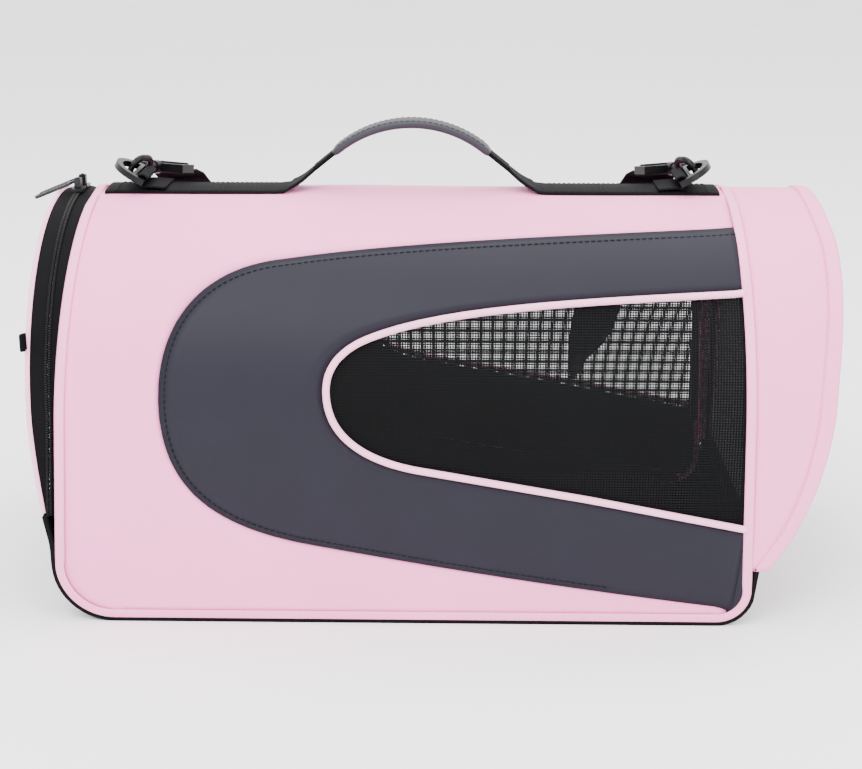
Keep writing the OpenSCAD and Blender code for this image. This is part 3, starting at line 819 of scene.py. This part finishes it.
def arch_band(name, x_of, r_out, r_in, z0, mat):
    """A D-shaped band of cloth across the tunnel, at X x_of(z)."""

    def loop(r, z):
        leg = [z + (AXIS_Z - z) * k / 12 for k in range(12)]
        turn = [math.pi * k / 96 for k in range(97)]
        top = [(-r * math.cos(a), AXIS_Z + r * math.sin(a)) for a in turn]
        return [(-r, h) for h in leg] + top + [(r, h) for h in reversed(leg)]

    def at(y, z):
        return Vector((x_of(z), y, z)) * MM

    z1 = z0 + r_out - r_in
    b = Build()
    rows = [
        [at(*p), at((p[0] + q[0]) / 2, (p[1] + q[1]) / 2), at(*q)]
        for p, q in zip(loop(r_out, z0), loop(r_in, z1))
    ]
    b.grid(rows, [[(i * 4 * MM, 0), (i * 4 * MM, 0.003), (i * 4 * MM, 0.006)] for i in range(len(rows))])
    # The band's foot
    ys = [-r_out + 2 * r_out * k / 40 for k in range(41)]
    b.grid([[at(y, z0), at(y * r_in / r_out, z1)] for y in ys], [[(y * MM, 0), (y * MM, 0.006)] for y in ys])
    return thicken(b.done(name, mat), 2.0, 0)


def bulged_net(name, x_of, bulge, r, z0):
    """A net panel across the tunnel that swells by bulge at its middle."""

    def inside(y, z):
        return z > z0 and ((abs(y) < r and z <= AXIS_Z) or y * y + (z - AXIS_Z) ** 2 < r * r)

    def place(y, z, lift):
        low = min(1, max(0, (z - z0) / 45))
        wall = 1 - (abs(y) if z < AXIS_Z else math.hypot(y, z - AXIS_Z)) / r
        k = math.sin(math.pi / 2 * low) * math.sin(math.pi / 2 * min(1, max(0, wall) / 0.22))
        return Vector((x_of(z) - bulge * k + lift, y, z)) * MM

    return net(name, inside, (-r, r), (z0, AXIS_Z + r), place)


door_frame = arch_band("door_frame_cloth", rim_x, 134.6, 127, 78.3, BLACK)
finish_piece(door_frame, "base_fabric", "door_frame", body="end_door")
door_net = bulged_net("door_net", lambda z: rim_x(z) - 0.2, 7.5, 130, 82)
finish_piece(door_net, "mesh", "door_mesh", body="end_door")


# The door's rim is bound in a folded pink tape
RIM_SECTION = [
    (1.3, 135.9), (0.6, 136.7), (-0.6, 136.9), (-1.6, 136.5), (-2.1, 135.4), (-1.9, 133.4), (-1.0, 132.2)
]
rim_s = round_from(80, 150)
b = Build()
b.grid(
    [[on_arch(rim_x(height_of(s)) + dx, s, r) for dx, r in RIM_SECTION] for s in rim_s],
    [[(s * MM, k * 0.0015) for k in range(len(RIM_SECTION))] for s in rim_s],
)
door_piping = b.done("door_bound_rim", PIPE)
finish_piece(door_piping, "piping", "door_piping", body="end_door")

b = Build()
tab_pts = [(-257.6, 131), (-259.6, 133.2), (-260.6, 131.6), (-259.8, 128.6), (-257.6, 127)]
tab_line = [Vector((x, -y, 201)) * MM for x, y in resample(tab_pts, 16)]
b.ribbon(tab_line, lambda i: (0, 0, 1), 12 * MM, 1.2 * MM)
tab = b.done("door_tab_webbing", WEB)
finish_piece(tab, "webbing", "door_tab", body="end_door")

# ---------------------------------------------------------------- visor end
END_X = 245


def flutter(x, s):
    """How far the visor's cloth stands off the arch, the same in the visor and its hem."""
    return ruffle((x, s), 1.6, 0.011, 21)


end_frame = arch_band("end_frame_cloth", lambda z: END_X, 136, 119, 40.5, BLACK)
finish_piece(end_frame, "base_fabric", "end_frame")
end_net = bulged_net("end_net", lambda z: END_X, -2, 121, 54)
finish_piece(end_net, "mesh", "end_mesh")
b = Build()
b.tube([on_arch(248.2, s, 121.2) for s in round_from(56, 110)], 1.6 * MM, 10)
end_piping = b.done("end_cord_piping", PIPE)
finish_piece(end_piping, "piping", "end_piping")

visor_s = round_from(41.5, 170)
b = Build()
rows, uvs = [], []
for s in visor_s:
    z = height_of(s)
    x0, x1 = right_edge(z, 0.5), visor_x(z) - 1
    row, uv = [], []
    for k in range(15):
        v = k / 14
        x = x0 + (x1 - x0) * v
        row.append(on_arch(x, s, ROOF_R - 0.2 + v * (1 - 0.4 * v) * flutter(x, s)))
        uv.append((x * MM, s * MM))
    rows.append(row)
    uvs.append(uv)
b.grid(rows, uvs)
visor = outward(b.done("visor_laminate", PINK))
thicken(visor, 2.6)
finish_piece(visor, "shell_fabric", "visor")

b = Build()
rows, uvs = [], []
for s in visor_s:
    z = height_of(s)
    x1 = visor_x(z)
    x0 = max(x1 - 11, right_edge(z) + 0.5)
    row, uv = [], []
    for k in range(8):
        v = k / 7
        x = x0 + (x1 - x0) * v
        lift = 0.9 * math.sqrt(max(0.0, 1 - (2 * v - 1) ** 4))
        row.append(on_arch(x, s, ROOF_R + 0.3 + lift + v * (1 - 0.4 * v) * flutter(x, s)))
        uv.append((x * MM, s * MM))
    rows.append(row)
    uvs.append(uv)
b.grid(rows, uvs)
hem = outward(b.done("visor_hem_fold", HEM))
thicken(hem, 3.6)
finish_piece(hem, "hem_fabric", "visor_hem")

# ---------------------------------------------------------------- webbing, handle
HANDLE_W = 20


def along_y(i):
    return (0, 1, 0)


CROWN_ROUTE = [
    (222, 284), (200, 284), (150, 284), (110, 284), (98, 284.3),
    (90, 285.2), (84, 288), (79, 291.2), (70.6, 298.2),
]
for side, sign in (("left", -1), ("right", 1)):
    pts = resample(CROWN_ROUTE, 60)
    # It narrows from the webbing's width to the handle's
    widths = [
        (WEB_W if p[0] > 90 else HANDLE_W + (WEB_W - HANDLE_W) * max(0, (p[0] - 71) / 19)) * MM for p in pts
    ]
    b = Build()
    b.ribbon([Vector((sign * p[0], 0, p[1] - 0.2)) * MM for p in pts], along_y, widths, 2.4 * MM)
    # It settles round the crown across its width
    for k, v in enumerate(b.v):
        if abs(v[0]) > 0.09:
            v[2] -= v[1] * v[1] / (2 * ROOF_R * MM)
    piece = b.done(f"crown_webbing_{side}_woven", WEB)
    finish_piece(piece, "webbing", f"crown_webbing_{side}")

GRIP_X, GRIP_Z, GRIP_RISE = 56.0, 310.0, 21.0  # half length, end height and rise of the grip's arc
GRIP_HALF_W, GRIP_HALF_T = 12.5, 3.0
grip_r = (GRIP_X**2 + GRIP_RISE**2) / (2 * GRIP_RISE)
grip_c = (0, GRIP_Z + GRIP_RISE - grip_r)
half_turn = math.degrees(math.asin(GRIP_X / grip_r))
grip_arc = arc(grip_c, grip_r, 90 + half_turn, 90 - half_turn, 48)
handle_pts = resample([(-70.4, 298.5)] + grip_arc + [(70.4, 298.5)], 90)
b = Build()
b.ribbon([Vector((p[0], 0, p[1])) * MM for p in handle_pts], along_y, HANDLE_W * MM, 3 * MM)
handle_web = b.done("handle_webbing_woven", WEB)
finish_piece(handle_web, "webbing", "handle_webbing", body="handle")


def off_grip(p):
    """The way out from the grip's arc at a point on it."""
    return Vector((p[0] - grip_c[0], 0, p[1] - grip_c[1])).normalized()


b = Build()
rows, uvs = [], []
for i, p in enumerate(grip_arc):
    t = i / (len(grip_arc) - 1)
    out = off_grip(p)
    end = min(1, 12 * t + 0.72, 12 * (1 - t) + 0.72)
    ring, uv = [], []
    for k in range(25):
        a = 2 * math.pi * k / 24
        c, s = math.cos(a), math.sin(a)
        u = GRIP_HALF_W * math.copysign(abs(c) ** 0.45, c)
        h = GRIP_HALF_T * end * math.copysign(abs(s) ** 0.7, s)
        ring.append(Vector((p[0], u, p[1])) * MM + out * h * MM)
        uv.append((t * 0.125, k * 0.003))
    rows.append(ring)
    uvs.append(uv)
b.grid(rows, uvs)
for ring in (rows[0], rows[-1]):
    start = len(b.v)
    b.v += ring[:-1]
    b.uv += [(0, 0)] * 24
    b.f.append(list(range(start, start + 24)))
grip = b.done("handle_grip_padded", GRIP)
finish_piece(grip, "grip_leather", "handle_grip", body="handle")


# ---------------------------------------------------------------- ring tabs and strap ends
HOOK_AT, HOOK_YAW, HOOK_PITCH = (-202.5, 18, 295), math.radians(65), math.radians(8)
LOOP_AT = 33.8  # distance along the hook's shank to the loop that holds the strap
RING_BAR = (-195, 291)


def hook_frame(sign):
    """Origin and axes of the hook's shank for one end, as the CAD places it."""
    yaw, pitch = HOOK_YAW, HOOK_PITCH
    at = Vector(HOOK_AT)
    d = Vector((math.cos(pitch) * math.cos(yaw), math.cos(pitch) * math.sin(yaw), -math.sin(pitch)))
    n = Vector((-math.sin(yaw), math.cos(yaw), 0))
    up = Vector((math.sin(pitch) * math.cos(yaw), math.sin(pitch) * math.sin(yaw), math.cos(pitch)))
    if sign > 0:
        for v in (at, d, n, up):
            v.x = -v.x
    return at, d, n, up


for side, sign in (("left", -1), ("right", 1)):
    pts = [(RING_BAR[0] + 17, 285.8), (RING_BAR[0] + 8, 286.6)] + arc(RING_BAR, 4.4, -70, -340, 24)
    b = Build()
    b.ribbon([Vector((-sign * p[0], 0, p[1])) * MM for p in resample(pts, 50)], along_y, 37 * MM, 1.6 * MM)
    piece = b.done(f"ring_tab_{side}_woven", WEB)
    finish_piece(piece, "webbing", f"ring_tab_{side}")

    # The strap's end goes round its loop and runs on to the strap's first points
    at, d, n, up = hook_frame(sign)
    loop = at + d * LOOP_AT
    sewn = [(9, -4.4)] + arc((0, 0), 3.35, -80, -350, 22) + [(5, -0.6), (9, -2.6), (14, -5.0)]
    start, inside = (strap_path[0], strap_path[3]) if side == "left" else (strap_path[-1], strap_path[-4])
    line = [(loop + d * p[0] + up * p[1]) * MM for p in resample(sewn, 50)] + [start, inside]
    flat = Vector((sign, 0, 0))

    def width_way(i, line=line, n=n, flat=flat, loop=loop, start=start):
        """The width turns from the loop's direction to the strap's."""
        near = (line[i] - loop * MM).length / (start - loop * MM).length
        turn = min(max((near - 0.3) / 0.6, 0), 1)
        return tuple(n.lerp(flat, turn))

    b = Build()
    b.ribbon(line, width_way, WEB_W * MM, 1.7 * MM)
    piece = b.done(f"strap_end_{side}_woven", WEB)
    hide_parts(f"strap_end_{side}")
    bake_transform(piece)

# ---------------------------------------------------------------- fittings keep their CAD shape
for names, mat_ in (
    (("d_ring_left", "d_ring_right", "swivel_left", "swivel_right", "hook_left", "hook_right",
      "hook_gate_left", "hook_gate_right", "strap_adjuster"), MOULDED),
    (("zip_slider_near", "zip_slider_far", "zip_pull_near", "zip_pull_far"), METAL),
    (("base_board", "left_arch_stay", "right_arch_stay"), STIFF),
):
    for name in names:
        for material_slot in nodes[name].material_slots:
            material_slot.material = mat_


# ---------------------------------------------------------------- stitching
def stitches(name, lines, mat_, body, slot_name, pitch=4.4, stitch=3.0, thick=0.35):
    """Rows of separate stitches along lines of points in metres."""
    b = Build()
    for line in lines:
        count = int(length_of(line) / MM / pitch)
        if count < 1:
            continue
        pts = resample(line, count * 2)
        for i in range(0, len(pts) - 2, 2):
            a, c = pts[i], pts[i + 2]
            half = (c - a) * (stitch / pitch)
            mid = a + half / 2
            out = Vector((0, mid.y, max(0.0, mid.z - AXIS_Z * MM))).normalized() * thick * MM * 0.5
            b.tube([a, mid + out, a + half], thick * MM, 6)
    return finish_piece(b.piece(name, mat_), slot_name, body=body)


def arch_points(line, r, far=False):
    return [on_arch(x, s, r) for x, s in wrapped(line, far)]


pink_rows, grey_rows = [], []
for far in (False, True):
    grey_rows.append(arch_points(drawn_in(panel_line[:-4], 3.6), ROOF_R + 1.35, far))
    for edge, foot in ((left_edge, 44), (right_edge, 28)):
        pink_rows.append(arch_points([(edge(z, 6.4), z) for z in range(281, foot, -4)], ROOF_R + 1.2, far))
    pink_rows.append(arch_points([(x, 9.6) for x in range(-200, 215, 6)], ROOF_R + 0.4, far))
hem_row = []
for s in visor_s[6:-6]:
    x = visor_x(height_of(s)) - 10
    hem_row.append(on_arch(x, s, ROOF_R + 0.9 + 0.9 * flutter(x, s)))
stitches("panel_stitching", grey_rows, THREAD_GREY, "bag", "panel_leather")
stitches("shell_stitching", pink_rows + [hem_row], THREAD_PINK, "bag", "binding_fabric")

grip_rows = [
    [Vector((p[0], y, p[1])) * MM + off_grip(p) * 2.5 * MM for p in grip_arc[2:-2]] for y in (-9.8, 9.8)
]
stitches("grip_stitching", grip_rows, THREAD_GREY, "handle", "grip_leather", pitch=4.0, stitch=2.8)
web_rows = []
for sign in (-1, 1):
    for x in (137, 141, 214):
        across = [Vector((sign * x, y, 284.9 - y * y / (2 * ROOF_R))) * MM for y in range(-15, 16, 2)]
        web_rows.append(across)
    for y in (-17, 17):
        web_rows.append([Vector((sign * x, y, 284.0)) * MM for x in range(100, 220, 4)])
stitches("webbing_stitching", web_rows, THREAD_BLACK, "bag", "webbing", pitch=3.6, stitch=2.6)

# ---------------------------------------------------------------- floor and light
FLOOR_SPAN = 6.0
PAPER = (0.93, 0.93, 0.93)
floor_mesh = bpy.data.meshes.new("floor")
corners = [(sx * FLOOR_SPAN, sy * FLOOR_SPAN, 0) for sx, sy in ((-1, -1), (1, -1), (1, 1), (-1, 1))]
floor_mesh.from_pydata(corners, [], [(0, 1, 2, 3)])
floor = bpy.data.objects.new("floor", floor_mesh)
bpy.context.scene.collection.objects.link(floor)
floor_mat, floor_tree, floor_shader = material("floor_paper", PAPER, 0.8)
tint(floor_tree, floor_shader, PAPER, noise_node(floor_tree, 2, 2), 0.01)
floor_mesh.materials.append(floor_mat)

world = bpy.data.worlds.new("studio")
bpy.context.scene.world = world
world.use_nodes = True
background = world.node_tree.nodes["Background"]
background.inputs["Color"].default_value = (1, 1, 1, 1)
background.inputs["Strength"].default_value = 2.4


def area(name, place, target, size, power):
    """A round soft light that faces a target."""
    data = bpy.data.lights.new(name, "AREA")
    data.shape = "DISK"
    data.size = size
    data.energy = power
    o = bpy.data.objects.new(name, data)
    bpy.context.scene.collection.objects.link(o)
    o.location = place
    o.rotation_euler = (Vector(target) - Vector(place)).to_track_quat("-Z", "Y").to_euler()


area("key", (-0.7, -1.5, 1.9), (0, 0, 0.15), 1.6, 56)
area("fill", (1.4, -1.2, 1.1), (0, 0, 0.15), 1.4, 22)
area("top", (0.1, 0.3, 2.2), (0, 0, 0.1), 1.8, 40)
